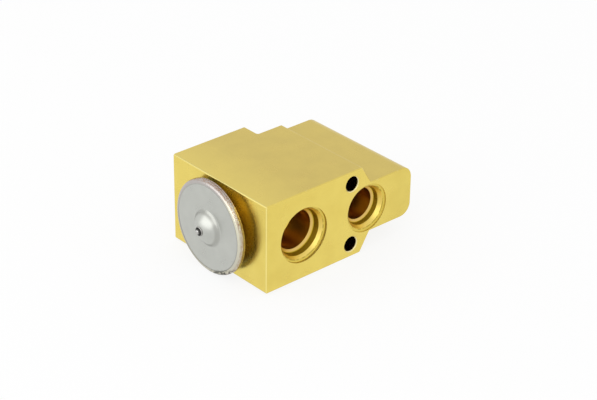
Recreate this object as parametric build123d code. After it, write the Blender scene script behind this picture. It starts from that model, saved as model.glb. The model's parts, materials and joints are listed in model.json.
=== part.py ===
from build123d import *
import math
import os

# Block expansion valve for a vehicle air conditioner, lying on its side, in millimetres.
# X runs along the stem from the power head to the nose, Y from the evaporator face to the
# pipe face, and Z across the block. The origin lies on the evaporator face, midway between
# the two bolt holes.

# Extruded block
block_depth = 53.2
head_to_suction = 18.0
suction_to_bolts = 23.4
bolts_to_liquid = 7.7
bolts_to_shoulder = 4.8
shoulder_run = 4.7
nose_height = 20.8
nose_corner_r = 5.0
bar_edge_r = 0.7
cut_edge = 0.3

# Milled notch for the bolt heads at the back
notch_depth = 8.1
notch_before_bolts = 7.3
cutter_r = 1.0

# Bolt holes and the stud hole between them
bolt_spacing = 25.4
bolt_hole_r = 3.0
bolt_hole_wall = 2.3
hole_edge = 0.35
turned_edge = 0.35
stud_hole_r = 2.5
stud_hole_depth = 11.0

# Mouths of all ports
port_wall_taper = 0.1

# Suction ports, one on each face: radius steps outwards from the bore, runs inwards from the face
suction_bore_r = 7.9
suction_lead_step = 1.05
suction_gland_step = 0.45
suction_cone_step = 0.9
suction_ledge_step = 0.7
suction_wall_run = 0.9
suction_ledge_run = 0.3
suction_cone_run = 1.4
suction_gland_run = 2.15
suction_lead_run = 0.85
suction_pilot_run = 10.4
suction_pipe_stop = 0.9

# Liquid ports: the outlet on the evaporator face and the inlet on the pipe face
outlet_bore_r = 6.4
inlet_bore_r = 4.85
inlet_to_nose_end = 11.4
liquid_lead_step = 1.05
liquid_gland_step = 0.35
liquid_cone_step = 0.95
liquid_ledge_step = 0.95
liquid_wall_run = 0.5
liquid_ledge_run = 0.3
liquid_cone_run = 1.6
liquid_gland_run = 1.8
liquid_lead_run = 0.6
liquid_pilot_run = 9.2
outlet_passage_r = 3.2
inlet_passage_r = 2.9
drill_point = 0.6

# Power head, measured outwards from the head face of the block
head_rise = 5.4
rim_r = 18.65
bead_r = 1.4
crease_depth = 0.06
crease_slope_run = 0.3
cover_wall = 0.9
rim_clamp_width = 1.5
gas_gap = 0.7
gas_gap_slope_run = 1.4
dome_base_r = 7.0
dome_rise = 4.0
dome_root_r = 2.0
charge_hole_r = 1.0
diaphragm_wall = 0.15
diaphragm_inset = 0.2
wave_depth = 0.5
wave_half_width = 0.9
wave_clear = 0.5
plate_to_wave = 0.6
base_wall = 0.8
base_rim_width = 2.4
base_slope = 0.8
back_edge_r = 0.4

# Neck of the head and its socket
neck_r = 11.0
neck_length = 7.5
neck_wall = 1.6
thread_gap = 0.05
socket_spare = 1.0
stem_window_r = 6.5
head_seal_cord_r = 0.7

# Charge plug
plug_collar_r = 1.9
plug_collar_rise = 0.25
plug_crown_r = 1.2
plug_groove_width = 0.25
plug_edge = 0.2

# Stopper plate, rod and pin
plate_wall = 1.0
plate_gap = 0.1
plate_boss_r = 5.2
plate_boss_length = 1.4
rod_socket_depth = 1.2
rod_r = 3.2
rod_end_spare = 2.1
pin_r = 0.9
pin_grip = 3.0
pin_guide_length = 6.5

# Seal round the rod
shaft_seal_cord_r = 0.9
shaft_seal_seat = 4.5
retainer_wall = 0.4
retainer_teeth = 10
retainer_tooth_depth = 0.7
retainer_bore_gap = 0.3

# Orifice, ball and chambers
outlet_chamber_r = 3.4
seat_past_outlet = 4.9
orifice_r = 1.3
orifice_length = 1.2
seat_mouth_r = 2.75
ball_r = 2.0
chamber_r = 6.3

# Ball support and damping spring
support_neck_r = 2.9
support_neck_length = 2.0
support_flange_r = 4.4
support_flange_wall = 0.9
support_stub_length = 2.0
support_cone_floor_r = 0.65
leg_wall = 0.3
leg_width = 2.4
leg_length = 3.2
leg_gap = 0.1
leg_count = 3

# Superheat spring and adjusting screw
spring_wire_r = 0.5
spring_mean_r = 3.4
spring_turns = 5
spring_length = 9.1
spring_gap = 0.1
screw_inset = 0.6
screw_thread_r = 7.0
screw_thread_length = 3.5
screw_length = 8.0
screw_travel = 1.0
screw_end_wall = 3.0
screw_seal_cord_r = 0.65
screw_land = 0.5
key_across_flats = 5.0
key_depth = 2.0

# Clearances
run_gap = 0.05
seal_gap = 0.03
touch_gap = 0.02

# Places along the stem and across the block
block_height = bolt_spacing + 2 * (bolt_hole_r + bolt_hole_wall)
suction_x = -suction_to_bolts
head_x = suction_x - head_to_suction
outlet_x = bolts_to_liquid
shoulder_x = bolts_to_shoulder
nose_x = shoulder_x + shoulder_run
stem_y = block_depth / 2
seat_x = outlet_x + seat_past_outlet
ball_x = seat_x - orifice_r + math.sqrt(2) * (ball_r + touch_gap)
support_top_x = ball_x + math.sqrt(2) * (ball_r + touch_gap) - ball_r
flange_x = support_top_x + support_neck_length
flange_end_x = flange_x + support_flange_wall
cup_floor_x = flange_end_x + spring_length
screw_face_x = cup_floor_x + screw_end_wall
end_x = screw_face_x + screw_inset
inlet_x = end_x - inlet_to_nose_end
on_stem = Pos(0, stem_y, 0)
past = 1.0


def turned(outline):
    """Solid turned about the X axis from a closed outline of (along, radius) points."""
    return revolve(make_face(Polyline(*outline, close=True)), Axis.X)


def disc(start, end, radius):
    """Plain cylinder about the X axis."""
    return turned([(start, 0), (start, radius), (end, radius), (end, 0)])


def seal_ring(along, mean_r, cord_r):
    """Round-section sealing ring about the X axis."""
    return revolve(Pos(along, mean_r) * Circle(cord_r), Axis.X)


def port_cutter(bore_r, steps, runs, passage_r, reach):
    """Stepped port, cut inwards along X from a face at zero."""
    lead_step, gland_step, cone_step, ledge_step = steps
    wall_run, ledge_run, cone_run, gland_run, lead_run, pilot_run = runs
    gland_r = bore_r + lead_step
    throat_r = gland_r + gland_step
    cone_r = throat_r + cone_step
    ledge_r = cone_r + ledge_step
    mouth_r = ledge_r + port_wall_taper
    cone_start = wall_run + ledge_run
    gland_start = cone_start + cone_run
    lead_start = gland_start + gland_run
    bore_start = lead_start + lead_run
    bore_end = bore_start + pilot_run
    point_end = bore_end + drill_point * (bore_r - passage_r)
    outline = [
        (-past, 0),
        (-past, mouth_r),
        (0, mouth_r),
        (wall_run, ledge_r),
        (cone_start, cone_r),
        (gland_start, throat_r),
        (lead_start, gland_r),
        (bore_start, bore_r),
        (bore_end, bore_r),
        (point_end, passage_r),
        (reach, passage_r),
        (reach, 0),
    ]
    return turned(outline)


def from_evaporator_side(x):
    return Pos(x, 0, 0) * Rot(0, 0, 90)


def from_pipe_side(x):
    return Pos(x, block_depth, 0) * Rot(0, 0, -90)


suction_steps = (suction_lead_step, suction_gland_step, suction_cone_step, suction_ledge_step)
suction_runs = (
    suction_wall_run,
    suction_ledge_run,
    suction_cone_run,
    suction_gland_run,
    suction_lead_run,
    suction_pilot_run,
)
suction_passage_r = suction_bore_r - suction_pipe_stop
liquid_steps = (liquid_lead_step, liquid_gland_step, liquid_cone_step, liquid_ledge_step)
liquid_runs = (
    liquid_wall_run,
    liquid_ledge_run,
    liquid_cone_run,
    liquid_gland_run,
    liquid_lead_run,
    liquid_pilot_run,
)

# Stem bores, from the head to the nose
socket_r = neck_r + thread_gap
socket_end = head_x + neck_length + socket_spare
passage_floor_x = suction_x + suction_passage_r
seal_seat_x = passage_floor_x + shaft_seal_seat
seal_pocket_r = rod_r + 2 * shaft_seal_cord_r + 2 * seal_gap
outlet_chamber_x = outlet_x - outlet_chamber_r - seal_gap
rod_bore_end = outlet_chamber_x - pin_guide_length
rod_end = rod_bore_end - rod_end_spare
chamber_x = seat_x + seat_mouth_r - orifice_r
screw_start = screw_face_x - screw_length
thread_start = screw_face_x - screw_thread_length
bore_thread_x = thread_start - screw_travel - seal_gap


def extruded_bar():
    """Bar with its shoulders and nose, cut to length with lightly broken edges."""
    half = block_height / 2
    half_nose = nose_height / 2
    upper = [(head_x, half), (shoulder_x, half), (nose_x, half_nose), (end_x, half_nose)]
    lower = [(x, -z) for x, z in reversed(upper)]
    section = make_face(Polyline(*upper, *lower, close=True))
    section = fillet(section.vertices().sort_by(Axis.X)[-2:], nose_corner_r)
    sharp = [v for v in section.vertices() if v.X < nose_x + bar_edge_r]
    section = fillet(sharp, bar_edge_r)
    bar = extrude(Plane.XZ * section, amount=-block_depth)
    ends = bar.faces().sort_by(Axis.Y)
    edges = ends[0].outer_wire().edges() + ends[-1].outer_wire().edges()
    return chamfer(edges, cut_edge)


def bolt_head_notch():
    """Notch across the pipe face, with the cutter's radius left along its two inner corners."""
    start = -notch_before_bolts
    floor_y = block_depth - notch_depth
    length = nose_x - start
    height = block_height + 2 * past
    tool = Box(length, notch_depth + past, height, align=(Align.MIN, Align.MIN, Align.CENTER))
    tool = Pos(start, floor_y, 0) * tool
    inner = tool.edges().filter_by(Axis.Z).sort_by(Axis.Y)[:2]
    return fillet(inner, cutter_r)


def bolt_hole(z):
    """Through hole from the evaporator face to the notch, with broken edges."""
    floor_y = block_depth - notch_depth
    wide = bolt_hole_r + hole_edge
    outline = [
        (-past, 0),
        (-past, wide),
        (0, wide),
        (hole_edge, bolt_hole_r),
        (floor_y - hole_edge, bolt_hole_r),
        (floor_y, wide),
        (floor_y + past, wide),
        (floor_y + past, 0),
    ]
    return Pos(0, 0, z) * from_evaporator_side(0) * turned(outline)


def stud_hole():
    """Blind hole in the notch floor for the stud that holds the pipe flange."""
    wide = stud_hole_r + hole_edge
    outline = [
        (-past, 0),
        (-past, wide),
        (0, wide),
        (hole_edge, stud_hole_r),
        (stud_hole_depth, stud_hole_r),
        (stud_hole_depth + drill_point * stud_hole_r, 0),
    ]
    return Pos(0, -notch_depth, 0) * from_pipe_side(0) * turned(outline)


def head_socket():
    """Threaded socket for the head's neck, with a bevel for the seal at its mouth."""
    seal_x, seal_mean_r = head_seal_place()
    bevel = seal_x - head_x + seal_mean_r + math.sqrt(2) * (head_seal_cord_r + seal_gap) - socket_r
    outline = [
        (head_x - past, 0),
        (head_x - past, socket_r + bevel),
        (head_x, socket_r + bevel),
        (head_x + bevel, socket_r),
        (socket_end, socket_r),
        (socket_end, stem_window_r),
        (suction_x, stem_window_r),
        (suction_x, 0),
    ]
    return on_stem * turned(outline)


def stem_bores():
    """Bores in the partition, the orifice and its seat, the spring chamber and the screw thread."""
    pocket = disc(suction_x, seal_seat_x, seal_pocket_r)
    rod_bore = disc(suction_x, rod_bore_end, rod_r + run_gap)
    pin_bore = disc(suction_x, seat_x, pin_r + run_gap)
    outlet_end = seat_x - orifice_length
    outlet_chamber = disc(outlet_chamber_x, outlet_end, outlet_chamber_r)
    lower = turned([
        (outlet_end - past, 0),
        (outlet_end - past, orifice_r),
        (seat_x, orifice_r),
        (chamber_x, seat_mouth_r),
        (chamber_x, chamber_r),
        (bore_thread_x, chamber_r),
        (bore_thread_x, screw_thread_r + thread_gap),
        (end_x - hole_edge, screw_thread_r + thread_gap),
        (end_x, screw_thread_r + thread_gap + hole_edge),
        (end_x + past, screw_thread_r + thread_gap + hole_edge),
        (end_x + past, 0),
    ])
    return [on_stem * cutter for cutter in (pocket, rod_bore, pin_bore, outlet_chamber, lower)]


def valve_body():
    suction = port_cutter(suction_bore_r, suction_steps, suction_runs, suction_passage_r, stem_y)
    outlet = port_cutter(outlet_bore_r, liquid_steps, liquid_runs, outlet_passage_r, stem_y)
    inlet = port_cutter(inlet_bore_r, liquid_steps, liquid_runs, inlet_passage_r, stem_y)
    cutters = [
        from_evaporator_side(suction_x) * suction,
        from_pipe_side(suction_x) * suction,
        from_evaporator_side(outlet_x) * outlet,
        from_pipe_side(inlet_x) * inlet,
        bolt_head_notch(),
        bolt_hole(bolt_spacing / 2),
        bolt_hole(-bolt_spacing / 2),
        stud_hole(),
        head_socket(),
    ]
    return extruded_bar() - (cutters + stem_bores())


# Planes of the power head, each measured along the stem
cover_top_x = head_x - head_rise
clamp_x = cover_top_x + cover_wall + gas_gap
diaphragm_under_x = clamp_x + diaphragm_wall
dome_r = (dome_base_r ** 2 + dome_rise ** 2) / (2 * dome_rise)
dome_centre_x = cover_top_x - dome_rise + dome_r
base_inner_r = rim_r - base_rim_width
wave_r = base_inner_r - wave_clear - wave_half_width
plate_r = wave_r - wave_half_width - plate_to_wave
plate_top_x = diaphragm_under_x + plate_gap
plate_under_x = plate_top_x + plate_wall
rod_start = plate_under_x + plate_boss_length - rod_socket_depth


def dome_x(radius, sphere_r):
    """Place along the stem where a sphere of the dome has the given radius from the axis."""
    return dome_centre_x - math.sqrt(sphere_r ** 2 - radius ** 2)


def head_cover():
    """Drawn sheet cover: flat ring, raised dome, and a welded bead round the rim."""
    inner_sphere_r = dome_r - cover_wall
    inner_flat_x = cover_top_x + cover_wall
    inner_base_r = math.sqrt(inner_sphere_r ** 2 - (dome_centre_x - inner_flat_x) ** 2)
    bead_x = cover_top_x + bead_r
    bead_centre_r = rim_r - bead_r
    crease_x = cover_top_x + crease_depth
    crease_r = bead_centre_r - math.sqrt(bead_r ** 2 - (bead_x - crease_x) ** 2)
    flat_end_r = crease_r - crease_slope_run
    bead_middle = (
        bead_x - bead_r * math.cos(math.radians(45)),
        bead_centre_r + bead_r * math.sin(math.radians(45)),
    )
    clamp_r = rim_r - rim_clamp_width
    outer_top = (dome_x(charge_hole_r, dome_r), charge_hole_r)
    outer_middle = (dome_x(dome_base_r / 2, dome_r), dome_base_r / 2)
    inner_top = (dome_x(charge_hole_r, inner_sphere_r), charge_hole_r)
    inner_middle = (dome_x(inner_base_r / 2, inner_sphere_r), inner_base_r / 2)
    outline = [
        ThreePointArc(outer_top, outer_middle, (cover_top_x, dome_base_r)),
        Polyline((cover_top_x, dome_base_r), (cover_top_x, flat_end_r), (crease_x, crease_r)),
        ThreePointArc((crease_x, crease_r), bead_middle, (bead_x, rim_r)),
        Polyline(
            (bead_x, rim_r),
            (clamp_x, rim_r),
            (clamp_x, clamp_r),
            (inner_flat_x, clamp_r - gas_gap_slope_run),
            (inner_flat_x, inner_base_r),
        ),
        ThreePointArc((inner_flat_x, inner_base_r), inner_middle, inner_top),
        Line(inner_top, outer_top),
    ]
    section = make_face(outline)
    root = section.vertices().sort_by_distance((cover_top_x, dome_base_r, 0))[0]
    section = fillet(root, dome_root_r)
    return on_stem * revolve(section, Axis.X)


def charge_plug():
    """Plug with a stem in the charging hole, a low collar on the dome and a ball-shaped crown."""
    seat_sphere_r = dome_r + touch_gap
    inside_x = dome_x(charge_hole_r, dome_r - cover_wall)
    seat_middle_r = (charge_hole_r + plug_collar_r) / 2
    seat_start = (dome_x(charge_hole_r, seat_sphere_r), charge_hole_r)
    seat_middle = (dome_x(seat_middle_r, seat_sphere_r), seat_middle_r)
    seat_end = (dome_x(plug_collar_r, seat_sphere_r), plug_collar_r)
    crown_base_x = dome_x(0, dome_r)
    collar_x = crown_base_x - plug_collar_rise
    crown_top_x = crown_base_x - plug_crown_r
    crown_middle = (
        crown_base_x - plug_crown_r * math.cos(math.radians(45)),
        plug_crown_r * math.sin(math.radians(45)),
    )
    outline = [
        Polyline((crown_top_x, 0), (inside_x, 0), (inside_x, charge_hole_r), seat_start),
        ThreePointArc(seat_start, seat_middle, seat_end),
        Polyline(
            seat_end,
            (collar_x + plug_edge, plug_collar_r),
            (collar_x, plug_collar_r - plug_edge),
            (collar_x, plug_crown_r + plug_groove_width),
            (crown_base_x, plug_crown_r),
        ),
        ThreePointArc((crown_base_x, plug_crown_r), crown_middle, (crown_top_x, 0)),
    ]
    return on_stem * revolve(make_face(outline), Axis.X)


def diaphragm():
    """Thin disc with one pressed ring wave between the plate and the clamped rim."""
    wave_start = wave_r - wave_half_width
    wave_end = wave_r + wave_half_width
    edge_r = rim_r - diaphragm_inset

    def side(x):
        return [(x, wave_start), (x + wave_depth, wave_r), (x, wave_end)]

    top_start, top_middle, top_end = side(clamp_x)
    under_start, under_middle, under_end = side(diaphragm_under_x)
    outline = [
        Line((clamp_x, 0), top_start),
        ThreePointArc(top_start, top_middle, top_end),
        Polyline(top_end, (clamp_x, edge_r), (diaphragm_under_x, edge_r), under_end),
        ThreePointArc(under_end, under_middle, under_start),
        Polyline(under_start, (diaphragm_under_x, 0), (clamp_x, 0)),
    ]
    return on_stem * revolve(make_face(outline), Axis.X)


def head_base():
    """Lower cover: clamped rim, sloping wall, floor on the block's face and threaded neck."""
    rim_under_x = diaphragm_under_x + base_wall
    floor_top_x = head_x - base_wall
    floor_r = base_inner_r - base_slope * (floor_top_x - diaphragm_under_x)
    outline = [
        (diaphragm_under_x, rim_r),
        (rim_under_x, rim_r),
        (rim_under_x, base_inner_r + base_wall),
        (head_x, floor_r + base_wall / 2),
        (head_x, neck_r),
        (head_x + neck_length, neck_r),
        (head_x + neck_length, neck_r - neck_wall),
        (floor_top_x, neck_r - neck_wall),
        (floor_top_x, floor_r),
        (diaphragm_under_x, base_inner_r),
    ]
    section = make_face(Polyline(*outline, close=True))
    back = section.vertices().sort_by_distance((rim_under_x, rim_r, 0))[0]
    section = fillet(back, back_edge_r)
    return on_stem * revolve(section, Axis.X)


def head_seal_place():
    """Place along the stem and mean radius of the seal round the root of the neck."""
    along = head_x + head_seal_cord_r + seal_gap
    mean_r = neck_r + head_seal_cord_r + seal_gap
    return along, mean_r


def head_seal():
    along, mean_r = head_seal_place()
    return on_stem * seal_ring(along, mean_r, head_seal_cord_r)


def stopper_plate():
    """Plate under the diaphragm, with a boss that takes the rod."""
    boss_end = plate_under_x + plate_boss_length
    plate = turned([
        (plate_top_x, 0),
        (plate_top_x, plate_r),
        (plate_under_x, plate_r),
        (plate_under_x, plate_boss_r),
        (boss_end, plate_boss_r),
        (boss_end, rod_r),
        (rod_start, rod_r),
        (rod_start, 0),
    ])
    return on_stem * plate


def sensing_rod():
    """Rod from the plate through the suction passage into the partition, bored for the pin."""
    pin_start = rod_end - pin_grip
    rod = turned([
        (rod_start, 0),
        (rod_start, rod_r),
        (rod_end - turned_edge, rod_r),
        (rod_end, rod_r - turned_edge),
        (rod_end, pin_r),
        (pin_start, pin_r),
        (pin_start, 0),
    ])
    return on_stem * rod


def push_pin():
    """Thin pin from the rod's bore to the ball."""
    start = rod_end - pin_grip
    end = ball_x - ball_r - touch_gap
    return on_stem * disc(start, end, pin_r)


def shaft_seal():
    along = seal_seat_x - shaft_seal_cord_r - seal_gap
    mean_r = rod_r + shaft_seal_cord_r + seal_gap
    return on_stem * seal_ring(along, mean_r, shaft_seal_cord_r)


def seal_retainer():
    """Thin ring over the seal, with teeth that grip the pocket's wall."""
    end = seal_seat_x - 2 * shaft_seal_cord_r - 2 * seal_gap
    start = end - retainer_wall
    bore = disc(start - past, end + past, rod_r + retainer_bore_gap)
    ring = disc(start, end, seal_pocket_r) - bore
    slot_width = math.pi * seal_pocket_r / retainer_teeth
    slot = Box(2 * past, 2 * retainer_tooth_depth, slot_width)
    slot = Pos((start + end) / 2, seal_pocket_r, 0) * slot
    for index in range(retainer_teeth):
        ring = ring - Rot(360 * index / retainer_teeth, 0, 0) * slot
    return on_stem * ring


def valve_ball():
    return Pos(ball_x, stem_y, 0) * Sphere(ball_r)


def ball_support():
    """Cup under the ball, with a flange and a stub for the spring."""
    spring_bore_r = spring_mean_r - spring_wire_r - spring_gap
    cone_floor_x = support_top_x + ball_r - support_cone_floor_r
    support = turned([
        (cone_floor_x, 0),
        (cone_floor_x, support_cone_floor_r),
        (support_top_x, ball_r),
        (support_top_x, support_neck_r),
        (flange_x, support_neck_r),
        (flange_x, support_flange_r),
        (flange_end_x, support_flange_r),
        (flange_end_x, spring_bore_r),
        (flange_end_x + support_stub_length, spring_bore_r),
        (flange_end_x + support_stub_length, 0),
    ])
    return on_stem * support


def damping_spring():
    """Sheet ring on the support's flange, with legs that lie along the chamber wall."""
    leg_outer_r = chamber_r - leg_gap
    leg_inner_r = leg_outer_r - leg_wall
    start = flange_x - leg_wall
    end = start + leg_length
    washer = disc(start, flange_x, leg_outer_r)
    tube = disc(start, end, leg_outer_r) - disc(start - past, end + past, leg_inner_r)
    strip = Box(leg_length, leg_outer_r, leg_width, align=(Align.MIN, Align.MIN, Align.CENTER))
    leg = (washer + tube) & (Pos(start, 0, 0) * strip)
    ring = disc(start, flange_x, support_flange_r)
    for index in range(leg_count):
        angle = 360 * (index + 0.5) / leg_count
        ring = ring + Rot(angle, 0, 0) * leg
    return on_stem * (ring - disc(start - past, end + past, support_neck_r))


def superheat_spring():
    """Coil between the support's flange and the floor of the screw's cup, with ground ends."""
    path = Helix(pitch=spring_length / spring_turns, height=spring_length, radius=spring_mean_r)
    section = Plane(origin=path @ 0, z_dir=path % 0) * Circle(spring_wire_r)
    wire = sweep(section, path=path, is_frenet=True)
    reach = spring_mean_r + 2 * spring_wire_r
    slab = Cylinder(reach, spring_length, align=(Align.CENTER, Align.CENTER, Align.MIN))
    coil = wire & slab
    return Pos(flange_end_x, stem_y, 0) * Rot(0, 90, 0) * coil


screw_land_r = chamber_r - run_gap
groove_r = chamber_r - 2 * screw_seal_cord_r - 2 * seal_gap
groove_start = screw_start + screw_land
groove_end = groove_start + 2 * screw_seal_cord_r + 2 * seal_gap


def adjusting_screw():
    """Cup-shaped screw: seal groove, threaded land, spring cup inside and a hex key socket."""
    cup_r = spring_mean_r + spring_wire_r + spring_gap
    screw = turned([
        (screw_start, cup_r),
        (screw_start, screw_land_r),
        (groove_start, screw_land_r),
        (groove_start, groove_r),
        (groove_end, groove_r),
        (groove_end, screw_land_r),
        (thread_start, screw_land_r),
        (thread_start, screw_thread_r - turned_edge),
        (thread_start + turned_edge, screw_thread_r),
        (screw_face_x - turned_edge, screw_thread_r),
        (screw_face_x, screw_thread_r - turned_edge),
        (screw_face_x, 0),
        (cup_floor_x, 0),
        (cup_floor_x, cup_r),
    ])
    hexagon = Plane.YZ * RegularPolygon(key_across_flats / 2, 6, major_radius=False)
    socket = Pos(screw_face_x - key_depth, 0, 0) * extrude(hexagon, amount=key_depth + past)
    return on_stem * (screw - socket)


def screw_seal():
    along = (groove_start + groove_end) / 2
    mean_r = groove_r + screw_seal_cord_r + seal_gap
    return on_stem * seal_ring(along, mean_r, screw_seal_cord_r)


pieces = {
    "valve_body": valve_body,
    "head_cover": head_cover,
    "charge_plug": charge_plug,
    "head_base": head_base,
    "diaphragm": diaphragm,
    "stopper_plate": stopper_plate,
    "sensing_rod": sensing_rod,
    "push_pin": push_pin,
    "head_seal": head_seal,
    "shaft_seal": shaft_seal,
    "seal_retainer": seal_retainer,
    "valve_ball": valve_ball,
    "ball_support": ball_support,
    "damping_spring": damping_spring,
    "superheat_spring": superheat_spring,
    "adjusting_screw": adjusting_screw,
    "screw_seal": screw_seal,
}

os.makedirs("parts", exist_ok=True)
for name, make in pieces.items():
    export_step(make(), f"parts/{name}.step")
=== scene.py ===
import json
import math
from collections import namedtuple

import bmesh
import bpy
from mathutils import Matrix, Vector

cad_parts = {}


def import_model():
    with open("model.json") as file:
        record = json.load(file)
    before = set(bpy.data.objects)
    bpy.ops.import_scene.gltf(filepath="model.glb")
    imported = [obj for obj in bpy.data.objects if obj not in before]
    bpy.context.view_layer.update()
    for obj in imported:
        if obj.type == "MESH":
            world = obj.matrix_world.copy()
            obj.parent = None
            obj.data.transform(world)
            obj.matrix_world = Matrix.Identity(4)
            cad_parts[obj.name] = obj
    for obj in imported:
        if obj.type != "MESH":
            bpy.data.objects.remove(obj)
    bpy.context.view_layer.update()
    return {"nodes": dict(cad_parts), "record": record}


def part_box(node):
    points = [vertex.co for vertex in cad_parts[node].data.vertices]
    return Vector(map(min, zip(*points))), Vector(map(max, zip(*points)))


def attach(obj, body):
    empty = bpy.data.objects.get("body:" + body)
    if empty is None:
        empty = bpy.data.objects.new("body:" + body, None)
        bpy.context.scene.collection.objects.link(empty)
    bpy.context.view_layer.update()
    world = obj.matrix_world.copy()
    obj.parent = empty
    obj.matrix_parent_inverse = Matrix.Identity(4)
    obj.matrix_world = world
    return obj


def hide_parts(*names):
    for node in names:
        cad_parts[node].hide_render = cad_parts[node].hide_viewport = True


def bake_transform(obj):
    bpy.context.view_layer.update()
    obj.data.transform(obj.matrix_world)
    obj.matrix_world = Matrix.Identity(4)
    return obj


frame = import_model()
nodes = frame["nodes"]
mounts = {mount["name"]: mount for mount in frame["record"]["mounts"]}

# Sizes are in metres, written in millimetres where that reads better
mm = 0.001

# Head: the stem's axis, the rim, the root of the dome, and the crease where the weld bead starts
cover_low, cover_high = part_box("head_cover")
stem_y = (cover_low.y + cover_high.y) / 2
stem = Vector((0, stem_y, 0))
rim_r = (cover_high.z - cover_low.z) / 2
dome_root_r = 6.6 * mm
bead_inner_r = rim_r - 1.8 * mm

# Block: its end under the head, and the bolt holes
head_face_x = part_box("valve_body")[0].x
bolt_spacing = mounts["evaporator_bolts"]["dims"]["spacing_y_mm"] * mm
bolt_hole_r = mounts["evaporator_bolts"]["dims"]["hole_r_mm"] * mm
bolt_holes = [Vector((0, 0, side * bolt_spacing / 2)) for side in (-1, 1)]

# Ports: each has its centre, the radius of its mouth, the depths where its ledge, cone, gland,
# lead ring and bore start, and its bore's colour, the coating's deeper amber darkened as painted shade
Port = namedtuple("Port", "centre mouth_r starts bore_tone")
suction_mouth_r = 11.1 * mm
outlet_mouth_r = 9.8 * mm
inlet_mouth_r = 8.25 * mm
suction_starts = (0.9 * mm, 1.2 * mm, 2.6 * mm, 4.95 * mm, 5.56 * mm)
liquid_starts = (0.5 * mm, 0.8 * mm, 2.4 * mm, 4.32 * mm, 4.76 * mm)
# Bore colours, darkened as painted shade, the narrow bores more than the wide ones
wide_bore_shade = (0.590, 0.300, 0.044)
narrow_bore_shade = (0.440, 0.215, 0.036)
ports = (
    Port(Vector(mounts["suction_in"]["pos_m"]), suction_mouth_r, suction_starts, wide_bore_shade),
    Port(Vector(mounts["suction_out"]["pos_m"]), suction_mouth_r, suction_starts, wide_bore_shade),
    Port(Vector(mounts["liquid_out"]["pos_m"]), outlet_mouth_r, liquid_starts, narrow_bore_shade),
    Port(Vector(mounts["liquid_in"]["pos_m"]), inlet_mouth_r, liquid_starts, narrow_bore_shade),
)

# Thread of the adjusting screw: its pitch, where it starts along the stem, and a radius that
# reaches just past the wall of its bore
screw_low, screw_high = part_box("adjusting_screw")
screw_pitch = 1.0 * mm
thread_length = 3.5 * mm
thread_margin = 0.1 * mm
thread_x = screw_high.x - thread_length
nose_bore_r = (screw_high.z - screw_low.z) / 2 + thread_margin

# Side on which the bead is scuffed, and side of the port bores that gets a painted glow
scuffed_side = (0, -0.40, -0.917)
glow_side = (0.8, 0, -0.6)

# Width over which a finish ends at the edge of a mouth, a hole or a bore
soft_edge = 0.1 * mm

# Range that holds most values of a noise, and a narrower one for clearer patches
noise_span = (0.3, 0.7)
patch_span = (0.35, 0.65)

# Camera, at the photograph's view
camera_place = Vector((-0.40941, -0.42936, 0.33588))
view_azimuth = 41.739
view_elevation = 29.100
view_roll = 0.771
sensor_width = 36.0
focal_length = 111.33

# Light: the surroundings' level, and the lamps with their place, width, height and power
world_level = 0.95
lamps = (
    ("key", (-0.92, 0.16, 0.44), 1.6, 0.95, 2.4),
    ("core", (-0.90, 0.14, 0.40), 1.2, 0.70, 1.3),
    ("front", (-0.46, -0.56, 0.62), 0.4, 0.4, 0.5),
)

# Floor: half its width, its grey, and how much of it glows white where it is seen
floor_half = 3.0
floor_grey = (0.86, 0.86, 0.86, 1)
floor_glow = 0.85
white = (1, 1, 1, 1)


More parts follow.
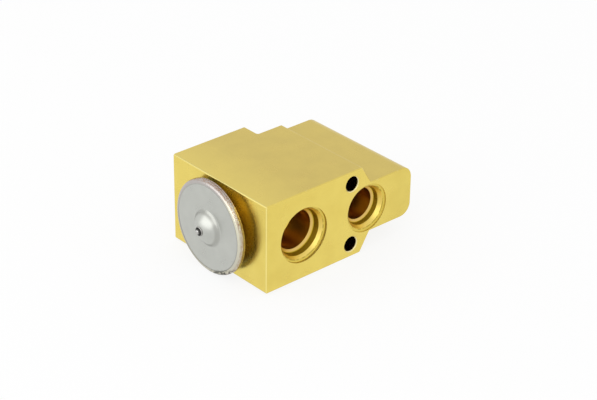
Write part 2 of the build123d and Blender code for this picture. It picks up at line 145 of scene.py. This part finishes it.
class Shader:
    """Node tree of one material, with short ways to add its nodes."""

    def __init__(self, name):
        self.material = bpy.data.materials.new(name)
        self.material.use_nodes = True
        self.tree = self.material.node_tree
        self.main = self.tree.nodes["Principled BSDF"]
        self.place = self.add("ShaderNodeTexCoord").outputs["Object"]

    def add(self, kind, **settings):
        node = self.tree.nodes.new(kind)
        for key, value in settings.items():
            setattr(node, key, value)
        return node

    def link(self, source, target):
        self.tree.links.new(source, target)

    def feed(self, node, key, value):
        """Links a socket, or sets it where the value is plain."""
        if isinstance(value, bpy.types.NodeSocket):
            self.link(value, node.inputs[key])
        else:
            node.inputs[key].default_value = value

    def set(self, **values):
        """Sets or links sockets of the shader, with spaces written as underscores."""
        for key, value in values.items():
            self.feed(self.main, key.replace("_", " "), value)

    def math(self, operation, first, second=0.0):
        node = self.add("ShaderNodeMath", operation=operation)
        self.feed(node, 0, first)
        self.feed(node, 1, second)
        return node.outputs[0]

    def plus(self, first, second):
        return self.math("ADD", first, second)

    def minus(self, first, second):
        return self.math("SUBTRACT", first, second)

    def times(self, first, second):
        return self.math("MULTIPLY", first, second)

    def apart(self, first, second):
        """How far two numbers lie from each other."""
        return self.math("ABSOLUTE", self.minus(first, second))

    def spread(self, value, low, high, start=0.0, end=1.0, smooth=False):
        """Maps low to start and high to end, held at both."""
        kind = "SMOOTHSTEP" if smooth else "LINEAR"
        node = self.add("ShaderNodeMapRange", interpolation_type=kind, clamp=True)
        self.feed(node, "Value", value)
        node.inputs["From Min"].default_value = low
        node.inputs["From Max"].default_value = high
        node.inputs["To Min"].default_value = start
        node.inputs["To Max"].default_value = end
        return node.outputs["Result"]

    def fade(self, value, low, high):
        """One up to low, falling to zero at high."""
        return self.spread(value, low, high, start=1.0, end=0.0)

    def mix(self, share, first, second):
        """Blend of two colours."""
        node = self.add("ShaderNodeMix", data_type="RGBA", blend_type="MIX")
        self.feed(node, "Factor", share)
        for index, value in ((6, first), (7, second)):
            if isinstance(value, bpy.types.NodeSocket):
                self.link(value, node.inputs[index])
            else:
                node.inputs[index].default_value = (*value, 1.0)
        return node.outputs[2]

    def between(self, share, first, second):
        """Blend of two numbers."""
        node = self.add("ShaderNodeMix", data_type="FLOAT")
        self.feed(node, 0, share)
        self.feed(node, 2, first)
        self.feed(node, 3, second)
        return node.outputs[0]

    def brighten(self, colour, factor):
        """The colour made lighter or darker by a factor."""
        node = self.add("ShaderNodeHueSaturation")
        self.link(colour, node.inputs["Color"])
        self.link(factor, node.inputs["Value"])
        return node.outputs["Color"]

    def coordinates(self):
        node = self.add("ShaderNodeSeparateXYZ")
        self.link(self.place, node.inputs[0])
        return node.outputs

    def radius(self, axis, centre):
        """Distance from a line along X or Y through the centre."""
        x, y, z = self.coordinates()
        across, middle = (x, centre.x) if axis == "Y" else (y, centre.y)
        first = self.minus(across, middle)
        second = self.minus(z, centre.z)
        return self.math("SQRT", self.plus(self.times(first, first), self.times(second, second)))

    def from_stem(self):
        """Distance from the stem's axis."""
        return self.radius("X", stem)

    def along(self, direction, origin):
        """How far a point lies from the origin in a direction."""
        offset = self.add("ShaderNodeVectorMath", operation="SUBTRACT")
        self.link(self.place, offset.inputs[0])
        offset.inputs[1].default_value = origin
        node = self.add("ShaderNodeVectorMath", operation="DOT_PRODUCT")
        self.link(offset.outputs["Vector"], node.inputs[0])
        node.inputs[1].default_value = direction
        return node.outputs["Value"]

    def face_depth(self):
        """Depth below the nearer of the two port faces, which lie evenly about the stem."""
        y = self.coordinates()[1]
        return self.minus(stem_y, self.apart(y, stem_y))

    def facing(self, axis):
        """How far the surface faces along an axis, from zero to one."""
        geometry = self.add("ShaderNodeNewGeometry")
        turn = self.add("ShaderNodeVectorTransform", vector_type="NORMAL",
                        convert_from="WORLD", convert_to="OBJECT")
        self.link(geometry.outputs["Normal"], turn.inputs[0])
        split = self.add("ShaderNodeSeparateXYZ")
        self.link(turn.outputs[0], split.inputs[0])
        return self.math("ABSOLUTE", split.outputs["XYZ".index(axis)])

    def slanted(self, first_axis, second_axis):
        """How far the surface faces along two axes at once, as on a broken edge between them."""
        return self.times(self.facing(first_axis), self.facing(second_axis))

    def noise(self, size, detail=2.0, roughness=0.5, scale=(1, 1, 1)):
        """Noise with features of about the given size, drawn out along an axis by a low scale."""
        place = self.add("ShaderNodeVectorMath", operation="MULTIPLY")
        self.link(self.place, place.inputs[0])
        place.inputs[1].default_value = scale
        node = self.add("ShaderNodeTexNoise")
        self.link(place.outputs[0], node.inputs["Vector"])
        node.inputs["Scale"].default_value = 1 / size
        node.inputs["Detail"].default_value = detail
        node.inputs["Roughness"].default_value = roughness
        return node.outputs["Fac"]

    def tool_rings(self, size):
        """Fine rings round the axis of the ports, as a turning tool leaves them."""
        return self.noise(size, scale=(0, 1, 0))

    def stem_rings(self, size, detail):
        """Fine rings round the stem."""
        node = self.add("ShaderNodeTexNoise", noise_dimensions="1D")
        self.link(self.from_stem(), node.inputs["W"])
        node.inputs["Scale"].default_value = 1 / size
        node.inputs["Detail"].default_value = detail
        return node.outputs["Fac"]

    def thread(self, pitch):
        """Wave that climbs round the stem as a screw thread does."""
        x, y, z = self.coordinates()
        turn = self.math("ARCTAN2", z, self.minus(y, stem_y))
        return self.math("SINE", self.plus(self.times(x, math.tau / pitch), turn))

    def bump(self, height, strength, distance, normal=None):
        """Normal for a relief, over the normal of another relief where one is given."""
        node = self.add("ShaderNodeBump")
        self.link(height, node.inputs["Height"])
        node.inputs["Strength"].default_value = strength
        node.inputs["Distance"].default_value = distance
        if normal is not None:
            self.link(normal, node.inputs["Normal"])
        return node.outputs["Normal"]


def gold_tones(shader):
    """Colour of the outer faces: paler where milled, more tan on the drawn sides."""
    gold = (0.800, 0.640, 0.150)
    deep_gold = (0.765, 0.600, 0.135)
    tan = (0.630, 0.485, 0.122)
    deep_tan = (0.600, 0.462, 0.118)
    x = shader.coordinates()[0]
    patches = shader.spread(shader.noise(9 * mm, detail=3.0), *patch_span)
    to_nose = shader.spread(x, 8 * mm, 24 * mm, start=1.04, end=0.97)
    milled = shader.brighten(shader.mix(patches, deep_gold, gold), to_nose)
    head_end = shader.spread(x, head_face_x, head_face_x + 22 * mm, start=0.5, end=0.0)
    drawn = shader.mix(head_end, shader.mix(patches, deep_tan, tan), gold)
    drawn_side = shader.spread(shader.facing("Z"), 0.5, 0.9)
    return shader.mix(drawn_side, milled, drawn)


def edge_sheen_and_knocks(shader, colour):
    """Painted highlight on the cut edges and painted shade on the duller drawn corners beside the
    head, and bare knocks round the outline.
    """
    pale = (0.900, 0.770, 0.270)
    dull_shade = (0.665, 0.560, 0.195)
    bare = (0.900, 0.800, 0.400)
    x = shader.coordinates()[0]
    at_head = shader.fade(x, head_face_x + 1.2 * mm, head_face_x + 1.6 * mm)
    # Painted highlight: the cut edge beside the head is given a pale gold
    highlit_edge = shader.spread(shader.slanted("X", "Y"), 0.3, 0.45)
    colour = shader.mix(shader.times(highlit_edge, at_head), colour, pale)
    # Painted shade: the drawn corners beside the head are given a duller gold
    shaded_corner = shader.spread(shader.slanted("X", "Z"), 0.1, 0.4)
    colour = shader.mix(shader.times(shaded_corner, at_head), colour, dull_shade)
    outline = shader.spread(shader.slanted("Y", "Z"), 0.3, 0.45)
    knocks = shader.spread(shader.noise(3.5 * mm, detail=4.0), 0.56, 0.68, start=0.0, end=0.5)
    return shader.mix(shader.times(outline, knocks), colour, bare)


def inside_port(shader, port, depth):
    """One inside a port's mouth, and zero on the face round it and in the port behind it."""
    near = shader.fade(shader.radius("Y", port.centre), port.mouth_r, port.mouth_r + soft_edge)
    compare = "LESS_THAN" if port.centre.y < stem_y else "GREATER_THAN"
    own_half = shader.math(compare, shader.coordinates()[1], stem_y)
    below_face = shader.spread(depth, 0.05 * mm, 0.15 * mm)
    return shader.times(shader.times(near, below_face), own_half)


def in_bores(shader, depth):
    """One on the walls of the port bores, and zero elsewhere."""
    total = 0.0
    for port in ports:
        bore_start = port.starts[-1]
        deep = shader.spread(depth, bore_start, bore_start + 0.2 * mm)
        total = shader.math("MAXIMUM", total, shader.times(inside_port(shader, port, depth), deep))
    return total


def bore_shade_and_glow(shader, port):
    """Dark colour of a port's bore, partly painted shade, and lighter towards one side as a painted
    glow.
    """
    glow_gain = (1.58, 2.08, 1.80)
    glow_tone = tuple(gain * part for gain, part in zip(glow_gain, port.bore_tone))
    towards = shader.math("DIVIDE", shader.along(glow_side, port.centre),
                          shader.radius("Y", port.centre))
    # Painted glow: the bore's tone is made lighter on one side
    rubbed = shader.spread(towards, 0.75, 0.98, smooth=True)
    return shader.mix(rubbed, port.bore_tone, glow_tone)


def port_rings(shader, port, depth, broken):
    """Colour and roughness of a port, from the wall of its mouth through its rings to its bore."""
    wall = ((0.760, 0.600, 0.130), 0.50)
    ledge = ((0.730, 0.560, 0.100), 0.28)
    cone = ((0.870, 0.670, 0.170), 0.36)
    # Painted shade: the gland is given a darker gold than the rings beside it
    gland = ((0.640, 0.460, 0.035), 0.46)
    lead_ring = ((0.720, 0.490, 0.150), 0.34)
    bore = (bore_shade_and_glow(shader, port), 0.32)
    tool_mark = (0.450, 0.330, 0.050)
    blur = 0.08 * mm
    colour, roughness = wall
    deeper_rings = (ledge, cone, gland, lead_ring, bore)
    for start, (next_colour, next_roughness) in zip(port.starts, deeper_rings):
        step = shader.spread(depth, start - blur, start + blur)
        colour = shader.mix(step, colour, next_colour)
        roughness = shader.between(step, roughness, next_roughness)
    cone_start = port.starts[1]
    groove = shader.fade(shader.apart(depth, cone_start), 0.05 * mm, 0.12 * mm)
    return shader.mix(shader.times(groove, broken), colour, tool_mark), roughness


def port_finish(shader, colour, roughness, depth):
    """Turned rings inside the port mouths, over the colour and roughness of the faces."""
    broken = shader.spread(shader.noise(1.6 * mm), 0.42, 0.55)
    turning = shader.spread(shader.tool_rings(0.25 * mm), *patch_span, start=0.88, end=1.06)
    for port in ports:
        ring_colour, ring_roughness = port_rings(shader, port, depth, broken)
        inside = inside_port(shader, port, depth)
        colour = shader.mix(inside, colour, shader.brighten(ring_colour, turning))
        roughness = shader.between(inside, roughness, ring_roughness)
    return colour, roughness


def bolt_hole_finish(shader, colour, roughness, depth):
    """Painted shade in the bolt holes, each with a bare rim where its edge is cut, which is painted
    pale as a highlight too.
    """
    shade = (0.300, 0.120, 0.030)
    bare = (0.870, 0.750, 0.380)
    bare_roughness = 0.42
    rim_end = bolt_hole_r + 0.34 * mm
    deep = shader.spread(depth, 0.4 * mm, 1.0 * mm)
    below_face = shader.spread(depth, 0.03 * mm, 0.06 * mm)
    for centre in bolt_holes:
        radius = shader.radius("Y", centre)
        hole = shader.fade(radius, bolt_hole_r, bolt_hole_r + soft_edge)
        colour = shader.mix(shader.times(hole, deep), colour, shade)
        rim = shader.fade(radius, rim_end, rim_end + 0.04 * mm)
        # Bare metal on the rim, whose pale colour is also a painted highlight
        bare_highlit_rim = shader.times(shader.times(rim, below_face), shader.minus(1.0, deep))
        colour = shader.mix(bare_highlit_rim, colour, bare)
        roughness = shader.between(bare_highlit_rim, roughness, bare_roughness)
    return colour, roughness


def gold_marks(shader):
    """Fine lines, along Y where the block was drawn and along X where it was milled."""
    die_lines = shader.noise(0.5 * mm, detail=3.0, scale=(1, 0.03, 1))
    milling = shader.noise(0.45 * mm, scale=(0.06, 1, 1))
    return shader.between(shader.facing("Y"), die_lines, milling)


def gold_wear(shader, marks):
    """Brightness of the block's colour: its marks, dark pits, and pale rubs on the drawn sides."""
    streaks = shader.spread(marks, *noise_span, start=-0.012, end=0.012)
    rubs = shader.noise(1.4 * mm, detail=3.0, roughness=0.6, scale=(1, 0.14, 1))
    rubbed = shader.times(shader.spread(rubs, 0.66, 0.74, start=0.0, end=0.05), shader.facing("Z"))
    pits = shader.spread(shader.noise(0.7 * mm, detail=1.0), 0.74, 0.80, start=0.0, end=-0.14)
    return shader.plus(shader.plus(1.0, shader.plus(streaks, rubbed)), pits)


def nose_thread(shader):
    """Thread in the wall of the screw's bore, as a wave."""
    x = shader.coordinates()[0]
    in_bore = shader.fade(shader.from_stem(), nose_bore_r, nose_bore_r + soft_edge)
    in_nose = shader.spread(x, thread_x, thread_x + 0.5 * mm)
    return shader.times(shader.thread(screw_pitch), shader.times(in_bore, in_nose))


def gold_block():
    """Yellow passivated aluminium: drawn along Y, milled on the port faces, turned in the ports."""
    shader = Shader("gold_passivated")
    depth = shader.face_depth()
    marks = gold_marks(shader)
    clouds = shader.noise(6 * mm, detail=3.0)
    grain = shader.noise(0.12 * mm)
    turned = shader.times(shader.tool_rings(0.16 * mm), in_bores(shader, depth))
    colour = edge_sheen_and_knocks(shader, gold_tones(shader))
    roughness = shader.spread(clouds, *noise_span, start=0.22, end=0.28)
    colour, roughness = port_finish(shader, colour, roughness, depth)
    colour, roughness = bolt_hole_finish(shader, colour, roughness, depth)
    normal = shader.bump(marks, strength=0.06, distance=0.02 * mm)
    normal = shader.bump(grain, strength=0.06, distance=0.02 * mm, normal=normal)
    normal = shader.bump(turned, strength=0.5, distance=0.04 * mm, normal=normal)
    normal = shader.bump(nose_thread(shader), strength=0.6, distance=0.25 * mm, normal=normal)
    shader.set(
        Base_Color=shader.brighten(colour, gold_wear(shader, marks)),
        Metallic=1.0,
        Roughness=roughness,
        Normal=normal,
    )
    return shader.material


def sheet_tone_with_shade(shader, colour, low_shade_colour, back_shade_colour):
    """Colour of a cover's sheet, with painted shade colours on the low side and at the upper back."""
    y, z = shader.coordinates()[1:]
    tone = shader.mix(shader.spread(z, -9 * mm, 10 * mm), low_shade_colour, colour)
    behind = shader.spread(y, stem_y - 12 * mm, stem_y + 6 * mm)
    above = shader.spread(z, 6 * mm, 10 * mm)
    return shader.mix(shader.times(behind, above), tone, back_shade_colour)


def bead_light_and_shade(shader):
    """Colour of the weld bead, with painted light and shade: lit above and darker below, and on its
    left side, seen from the head, duller above and darkest below.
    """
    lit = (0.740, 0.710, 0.550)
    low = (0.590, 0.560, 0.450)
    dull_shade = (0.480, 0.445, 0.425)
    dark = (0.300, 0.290, 0.240)
    z = shader.coordinates()[2]
    # Painted light and shade: lighter towards the top, darker lower down, duller at the upper left and
    # darkest at the lower left
    tone = shader.mix(shader.spread(z, -8 * mm, 6 * mm), low, lit)
    upper_left = shader.along((0, 1, 1), stem)
    tone = shader.mix(shader.spread(upper_left, -4 * mm, 12 * mm, smooth=True), tone, dull_shade)
    lower_left = shader.along((0, 1, -1), stem)
    darkened = shader.spread(lower_left, 16 * mm, 26 * mm, start=0.0, end=0.6)
    return shader.mix(darkened, tone, dark)


def head_stains_and_shade(shader, tone, radius, root_shade):
    """Painted shade in the crease, stronger lower down, and at the dome's root, heat stain on the
    seam, and soot on one side.
    """
    painted_shade_grey = (0.230, 0.225, 0.200)
    heat_brown = (0.340, 0.170, 0.080)
    soot = (0.060, 0.058, 0.045)
    z = shader.coordinates()[2]
    # Painted shade: a grey line in the crease, darker lower down
    crease = shader.fade(shader.apart(radius, bead_inner_r), 0.05 * mm, 0.28 * mm)
    below = shader.spread(z, -14 * mm, 6 * mm, start=0.85, end=0.35)
    tone = shader.mix(shader.times(crease, below), tone, painted_shade_grey)
    seam = shader.spread(radius, rim_r - 0.70 * mm, rim_r - 0.20 * mm)
    specks = shader.spread(shader.noise(0.35 * mm), 0.45, 0.55, start=0.0, end=0.8)
    tone = shader.mix(shader.times(seam, specks), tone, heat_brown)
    scuffed = shader.along(scuffed_side, stem)
    edge = shader.spread(scuffed, rim_r - 2.6 * mm, rim_r - 1.2 * mm)
    flecks = shader.spread(shader.noise(0.8 * mm, detail=3.0), 0.41, 0.50)
    tone = shader.mix(shader.times(edge, flecks), tone, soot)
    # Painted shade: a grey ring at the dome's root, as strong as root_shade
    from_root = shader.apart(radius, dome_root_r)
    root = shader.spread(from_root, 0.3 * mm, 1.1 * mm, start=root_shade, end=0.0, smooth=True)
    return shader.mix(root, tone, painted_shade_grey)


def satin_steel(name, colour, low_shade_colour, back_shade_colour, roughness, root_shade=0.0):
    """Stainless sheet with fine rings round the stem, and a heat-stained weld bead at the rim."""
    bead_share = 0.9
    bead_gloss = 0.08
    dome_dulling = 0.05
    unevenness = 0.03
    shader = Shader(name)
    radius = shader.from_stem()
    clouds = shader.noise(5 * mm, detail=4.0)
    rings = shader.stem_rings(0.35 * mm, detail=3.0)
    grain = shader.noise(0.15 * mm)
    bead = shader.spread(radius, bead_inner_r, bead_inner_r + 0.3 * mm)
    ripple = shader.times(shader.noise(0.7 * mm, detail=4.0, roughness=0.6), bead)
    tone = sheet_tone_with_shade(shader, colour, low_shade_colour, back_shade_colour)
    tone = shader.brighten(tone, shader.spread(clouds, *noise_span, start=0.93, end=1.0))
    tone = shader.mix(shader.times(bead, bead_share), tone, bead_light_and_shade(shader))
    tone = head_stains_and_shade(shader, tone, radius, root_shade)
    smoothest = roughness - unevenness
    roughest = roughness + unevenness
    satin = shader.spread(clouds, *noise_span, start=smoothest, end=roughest)
    domed = shader.spread(radius, dome_root_r - 1.5 * mm, dome_root_r, start=dome_dulling, end=0.0)
    normal = shader.bump(rings, strength=0.05, distance=0.02 * mm)
    normal = shader.bump(grain, strength=0.10, distance=0.02 * mm, normal=normal)
    normal = shader.bump(ripple, strength=0.55, distance=0.14 * mm, normal=normal)
    shader.set(
        Base_Color=tone,
        Metallic=1.0,
        Roughness=shader.minus(shader.plus(satin, domed), shader.times(bead, bead_gloss)),
        Normal=normal,
    )
    return shader.material


def plug_steel():
    """Bright ball of the charging plug in the dark ring of its weld, darkened both as weld tint and as
    painted shade.
    """
    bright = (0.480, 0.470, 0.450)
    weld = (0.070, 0.070, 0.065)
    collar = (0.400, 0.390, 0.370)
    shader = Shader("plug_steel")
    grain = shader.noise(0.25 * mm, detail=3.0)
    ragged = shader.plus(shader.from_stem(), shader.times(grain, 0.3 * mm))
    # The dark ring is weld tint and painted shade together
    ring = shader.spread(ragged, 0.85 * mm, 1.10 * mm)
    past_ring = shader.spread(ragged, 1.70 * mm, 1.95 * mm)
    shader.set(
        Base_Color=shader.mix(past_ring, shader.mix(ring, bright, weld), collar),
        Metallic=1.0,
        Roughness=shader.between(ring, 0.14, 0.36),
        Normal=shader.bump(grain, strength=0.15, distance=0.04 * mm),
    )
    return shader.material


def plain_metal(name, colour, roughness, metallic=1.0):
    """Turned or drawn metal with a fine grain, or rubber where it isn't metallic."""
    dark_share = 0.8
    unevenness = 0.05
    shader = Shader(name)
    grain = shader.noise(0.4 * mm, detail=3.0)
    dark = tuple(dark_share * part for part in colour)
    smoothest = roughness - unevenness
    roughest = roughness + unevenness
    shader.set(
        Base_Color=shader.mix(shader.spread(grain, *noise_span), dark, colour),
        Metallic=metallic,
        Roughness=shader.spread(grain, *noise_span, start=smoothest, end=roughest),
        Normal=shader.bump(grain, strength=0.1, distance=0.03 * mm),
    )
    return shader.material


def screw_brass(colour):
    """Turned brass of the adjusting screw, with its thread as a fine wave round the rim."""
    dark = (0.45, 0.30, 0.10)
    shader = Shader("screw_brass")
    x = shader.coordinates()[0]
    grain = shader.noise(0.3 * mm, detail=3.0)
    lathe_marks = shader.noise(0.2 * mm, scale=(1, 0, 0))
    outside = shader.spread(shader.from_stem(), nose_bore_r - 0.5 * mm, nose_bore_r - 0.3 * mm)
    threaded = shader.times(outside, shader.spread(x, thread_x, thread_x + 0.3 * mm))
    wave = shader.times(shader.thread(screw_pitch), threaded)
    normal = shader.bump(grain, strength=0.1, distance=0.03 * mm)
    normal = shader.bump(lathe_marks, strength=0.2, distance=0.02 * mm, normal=normal)
    normal = shader.bump(wave, strength=0.6, distance=0.25 * mm, normal=normal)
    shader.set(
        Base_Color=shader.mix(shader.spread(grain, *noise_span), dark, colour),
        Metallic=1.0,
        Roughness=shader.spread(grain, *noise_span, start=0.26, end=0.36),
        Normal=normal,
    )
    return shader.material


def dress(material, *names):
    """Gives the material to the nodes of these names."""
    for name in names:
        mesh = nodes[name].data
        mesh.materials.clear()
        mesh.materials.append(material)


def dress_all():
    """Materials of all nodes. The base cover is painted brown, darker below and olive at its upper
    back, as painted shade.
    """
    cover_grey = (0.54, 0.55, 0.51)
    # Painted shade and painted reflection: the base cover's brown tones darken the gap under the head
    base_shade_brown = (0.45, 0.33, 0.13)
    low_shade_brown = (0.09, 0.055, 0.012)
    back_shade_olive = (0.060, 0.060, 0.006)
    brass = (0.56, 0.38, 0.13)
    dress(gold_block(), "valve_body")
    dress(satin_steel("satin_steel", cover_grey, cover_grey, cover_grey, 0.30, root_shade=0.35),
          "head_cover")
    dress(satin_steel("shaded_base_steel", base_shade_brown, low_shade_brown, back_shade_olive, 0.26), "head_base")
    dress(plug_steel(), "charge_plug")
    dress(plain_metal("spring_steel", (0.42, 0.42, 0.41), 0.30),
          "diaphragm", "seal_retainer", "damping_spring", "superheat_spring")
    dress(plain_metal("turned_brass", brass, 0.32), "stopper_plate", "ball_support")
    dress(screw_brass(brass), "adjusting_screw")
    dress(plain_metal("rod_alloy", (0.58, 0.58, 0.56), 0.34), "sensing_rod")
    dress(plain_metal("pin_steel", (0.42, 0.42, 0.42), 0.22), "push_pin")
    dress(plain_metal("ball_steel", (0.55, 0.55, 0.56), 0.08), "valve_ball")
    dress(plain_metal("seal_rubber", (0.012, 0.022, 0.016), 0.45, metallic=0.0),
          "head_seal", "shaft_seal", "screw_seal")


def add_piece(name, mesh, material):
    """New object of the mesh, in the scene."""
    data = bpy.data.meshes.new(name)
    mesh.to_mesh(data)
    mesh.free()
    data.materials.append(material)
    piece = bpy.data.objects.new(name, data)
    bpy.context.scene.collection.objects.link(piece)
    return piece


def stud_thread():
    """Screw thread in the stud hole, as one ridge that climbs round its wall and fades at its ends."""
    hole = mounts["pipe_flange_stud"]
    centre = Vector(hole["pos_m"])
    length = hole["dims"]["length_mm"] * mm
    sunk = 0.01 * mm
    wall_r = hole["dims"]["r_mm"] * mm + sunk
    pitch = 1.0 * mm
    ridge = 0.30 * mm
    root_half = 0.42 * pitch
    crest_half = 0.08 * pitch
    end_gap = pitch
    end_share = 0.05
    share_per_turn = 2
    steps = 36
    turns = (length - 2 * end_gap) / pitch
    start_y = centre.y - length / 2 + end_gap
    mesh = bmesh.new()
    rings = []
    for index in range(int(turns * steps) + 1):
        turn = index / steps
        angle = math.tau * turn
        from_end = min(turn, turns - turn)
        crest_r = wall_r - ridge * min(1.0, end_share + share_per_turn * from_end)
        section = (
            (wall_r, -root_half), (crest_r, -crest_half), (crest_r, crest_half), (wall_r, root_half),
        )
        ring = []
        for radius, along in section:
            place = Vector((radius * math.cos(angle), start_y + turn * pitch + along,
                            radius * math.sin(angle)))
            ring.append(mesh.verts.new(place))
        rings.append(ring)
    for first, second in zip(rings, rings[1:]):
        for corner in range(len(first)):
            after = (corner + 1) % len(first)
            mesh.faces.new((first[corner], second[corner], second[after], first[after]))
    mesh.faces.new(rings[0])
    mesh.faces.new(reversed(rings[-1]))
    bmesh.ops.recalc_face_normals(mesh, faces=mesh.faces)
    thing = add_piece("stud_thread", mesh, nodes["valve_body"].data.materials[0])
    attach(thing, "housing")


def spring_half(name, keep_low, start, end):
    """Half of the coil spring, closed at its cut."""
    node = nodes["superheat_spring"]
    cut = Vector((end if keep_low else start, stem_y, 0))
    same_place = 0.0001 * mm
    mesh = bmesh.new()
    mesh.from_mesh(node.data)
    bmesh.ops.remove_doubles(mesh, verts=mesh.verts, dist=same_place)
    parts = list(mesh.verts) + list(mesh.edges) + list(mesh.faces)
    bmesh.ops.bisect_plane(mesh, geom=parts, plane_co=cut, plane_no=(1, 0, 0),
                           clear_outer=keep_low, clear_inner=not keep_low)
    rim = [edge for edge in mesh.edges if edge.is_boundary]
    bmesh.ops.triangle_fill(mesh, edges=rim, use_beauty=True)
    bmesh.ops.recalc_face_normals(mesh, faces=mesh.faces)
    for face in mesh.faces:
        face.smooth = True
    thing = add_piece(name, mesh, node.data.materials[0])
    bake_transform(thing)
    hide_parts("superheat_spring")


def coil_spring():
    """Coil spring cut at its middle into two halves, one at the ball support's end and one at the
    screw's end.
    """
    spring_low, spring_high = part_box("superheat_spring")
    middle = (spring_low.x + spring_high.x) / 2
    spring_half("spring_ball_end", True, spring_low.x, middle)
    spring_half("spring_screw_end", False, middle, spring_high.x)


def resting_plane():
    """Lowest point of the head's rim, and the slope from there to the block's lowest edge."""
    rim = min((vertex.co for vertex in nodes["head_base"].data.vertices), key=lambda p: p.z)
    slopes = []
    for vertex in nodes["valve_body"].data.vertices:
        if vertex.co.x > 0:
            slopes.append((vertex.co.z - rim.z) / (vertex.co.x - rim.x))
    return rim.copy(), min(slopes)


def floor():
    """Plain white floor that touches the part where it rests."""
    rim, slope = resting_plane()
    middle = Vector((0, stem_y, rim.z - slope * rim.x))
    mesh = bmesh.new()
    for x_side, y_side in ((-1, -1), (1, -1), (1, 1), (-1, 1)):
        x = x_side * floor_half
        y = y_side * floor_half
        mesh.verts.new(middle + Vector((x, y, slope * x)))
    mesh.faces.new(mesh.verts)
    thing = add_piece("floor", mesh, white_floor())


def seen_directly(tree):
    """One for camera, glossy and transmission rays, and zero for the rest."""
    path = tree.nodes.new("ShaderNodeLightPath")
    total = path.outputs["Is Camera Ray"]
    for name in ("Is Glossy Ray", "Is Transmission Ray"):
        larger = tree.nodes.new("ShaderNodeMath")
        larger.operation = "MAXIMUM"
        tree.links.new(total, larger.inputs[0])
        tree.links.new(path.outputs[name], larger.inputs[1])
        total = larger.outputs[0]
    return total


def white_floor():
    """Matt white that reads as pure white, with a trace of the part's shadow."""
    shader = Shader("white_floor")
    shader.set(Base_Color=floor_grey, Roughness=0.9)
    glow = shader.add("ShaderNodeEmission")
    glow.inputs["Color"].default_value = white
    glow.inputs["Strength"].default_value = 1.0
    blend = shader.add("ShaderNodeMixShader")
    shader.link(shader.times(seen_directly(shader.tree), floor_glow), blend.inputs[0])
    shader.link(shader.main.outputs[0], blend.inputs[1])
    shader.link(glow.outputs[0], blend.inputs[2])
    shader.link(blend.outputs[0], shader.tree.nodes["Material Output"].inputs["Surface"])
    return shader.material


def world():
    """White surroundings: even white where seen, a little lower as light."""
    room = bpy.data.worlds.new("studio")
    bpy.context.scene.world = room
    room.use_nodes = True
    tree = room.node_tree
    back = tree.nodes["Background"]
    back.inputs["Color"].default_value = white
    level = tree.nodes.new("ShaderNodeMapRange")
    tree.links.new(seen_directly(tree), level.inputs["Value"])
    level.inputs["To Min"].default_value = world_level
    level.inputs["To Max"].default_value = 1.0
    tree.links.new(level.outputs["Result"], back.inputs["Strength"])


def soft_lamp(name, place, width, height, power):
    """Rectangular area lamp that points at the part."""
    data = bpy.data.lights.new(name, "AREA")
    data.shape = "RECTANGLE"
    data.size = width
    data.size_y = height
    data.energy = power
    lamp = bpy.data.objects.new(name, data)
    lamp.location = place
    lamp.rotation_euler = (-Vector(place)).to_track_quat("-Z", "Y").to_euler()
    bpy.context.scene.collection.objects.link(lamp)


def camera():
    """Camera at the photograph's place, turned by its azimuth, elevation and roll."""
    data = bpy.data.cameras.new("camera")
    data.sensor_width = sensor_width
    data.sensor_fit = "HORIZONTAL"
    data.lens = focal_length
    data.clip_start = 0.01
    thing = bpy.data.objects.new("camera", data)
    azimuth = math.radians(view_azimuth)
    elevation = math.radians(view_elevation)
    forward = Vector((
        math.sin(azimuth) * math.cos(elevation),
        math.cos(azimuth) * math.cos(elevation),
        -math.sin(elevation),
    ))
    turn = forward.to_track_quat("-Z", "Y").to_matrix().to_4x4()
    roll = Matrix.Rotation(math.radians(view_roll), 4, "Z")
    thing.matrix_world = Matrix.Translation(camera_place) @ turn @ roll
    bpy.context.scene.collection.objects.link(thing)
    bpy.context.scene.camera = thing


dress_all()
stud_thread()
coil_spring()
floor()
world()
for lamp in lamps:
    soft_lamp(*lamp)
camera()
bpy.context.scene.view_settings.view_transform = "Standard"
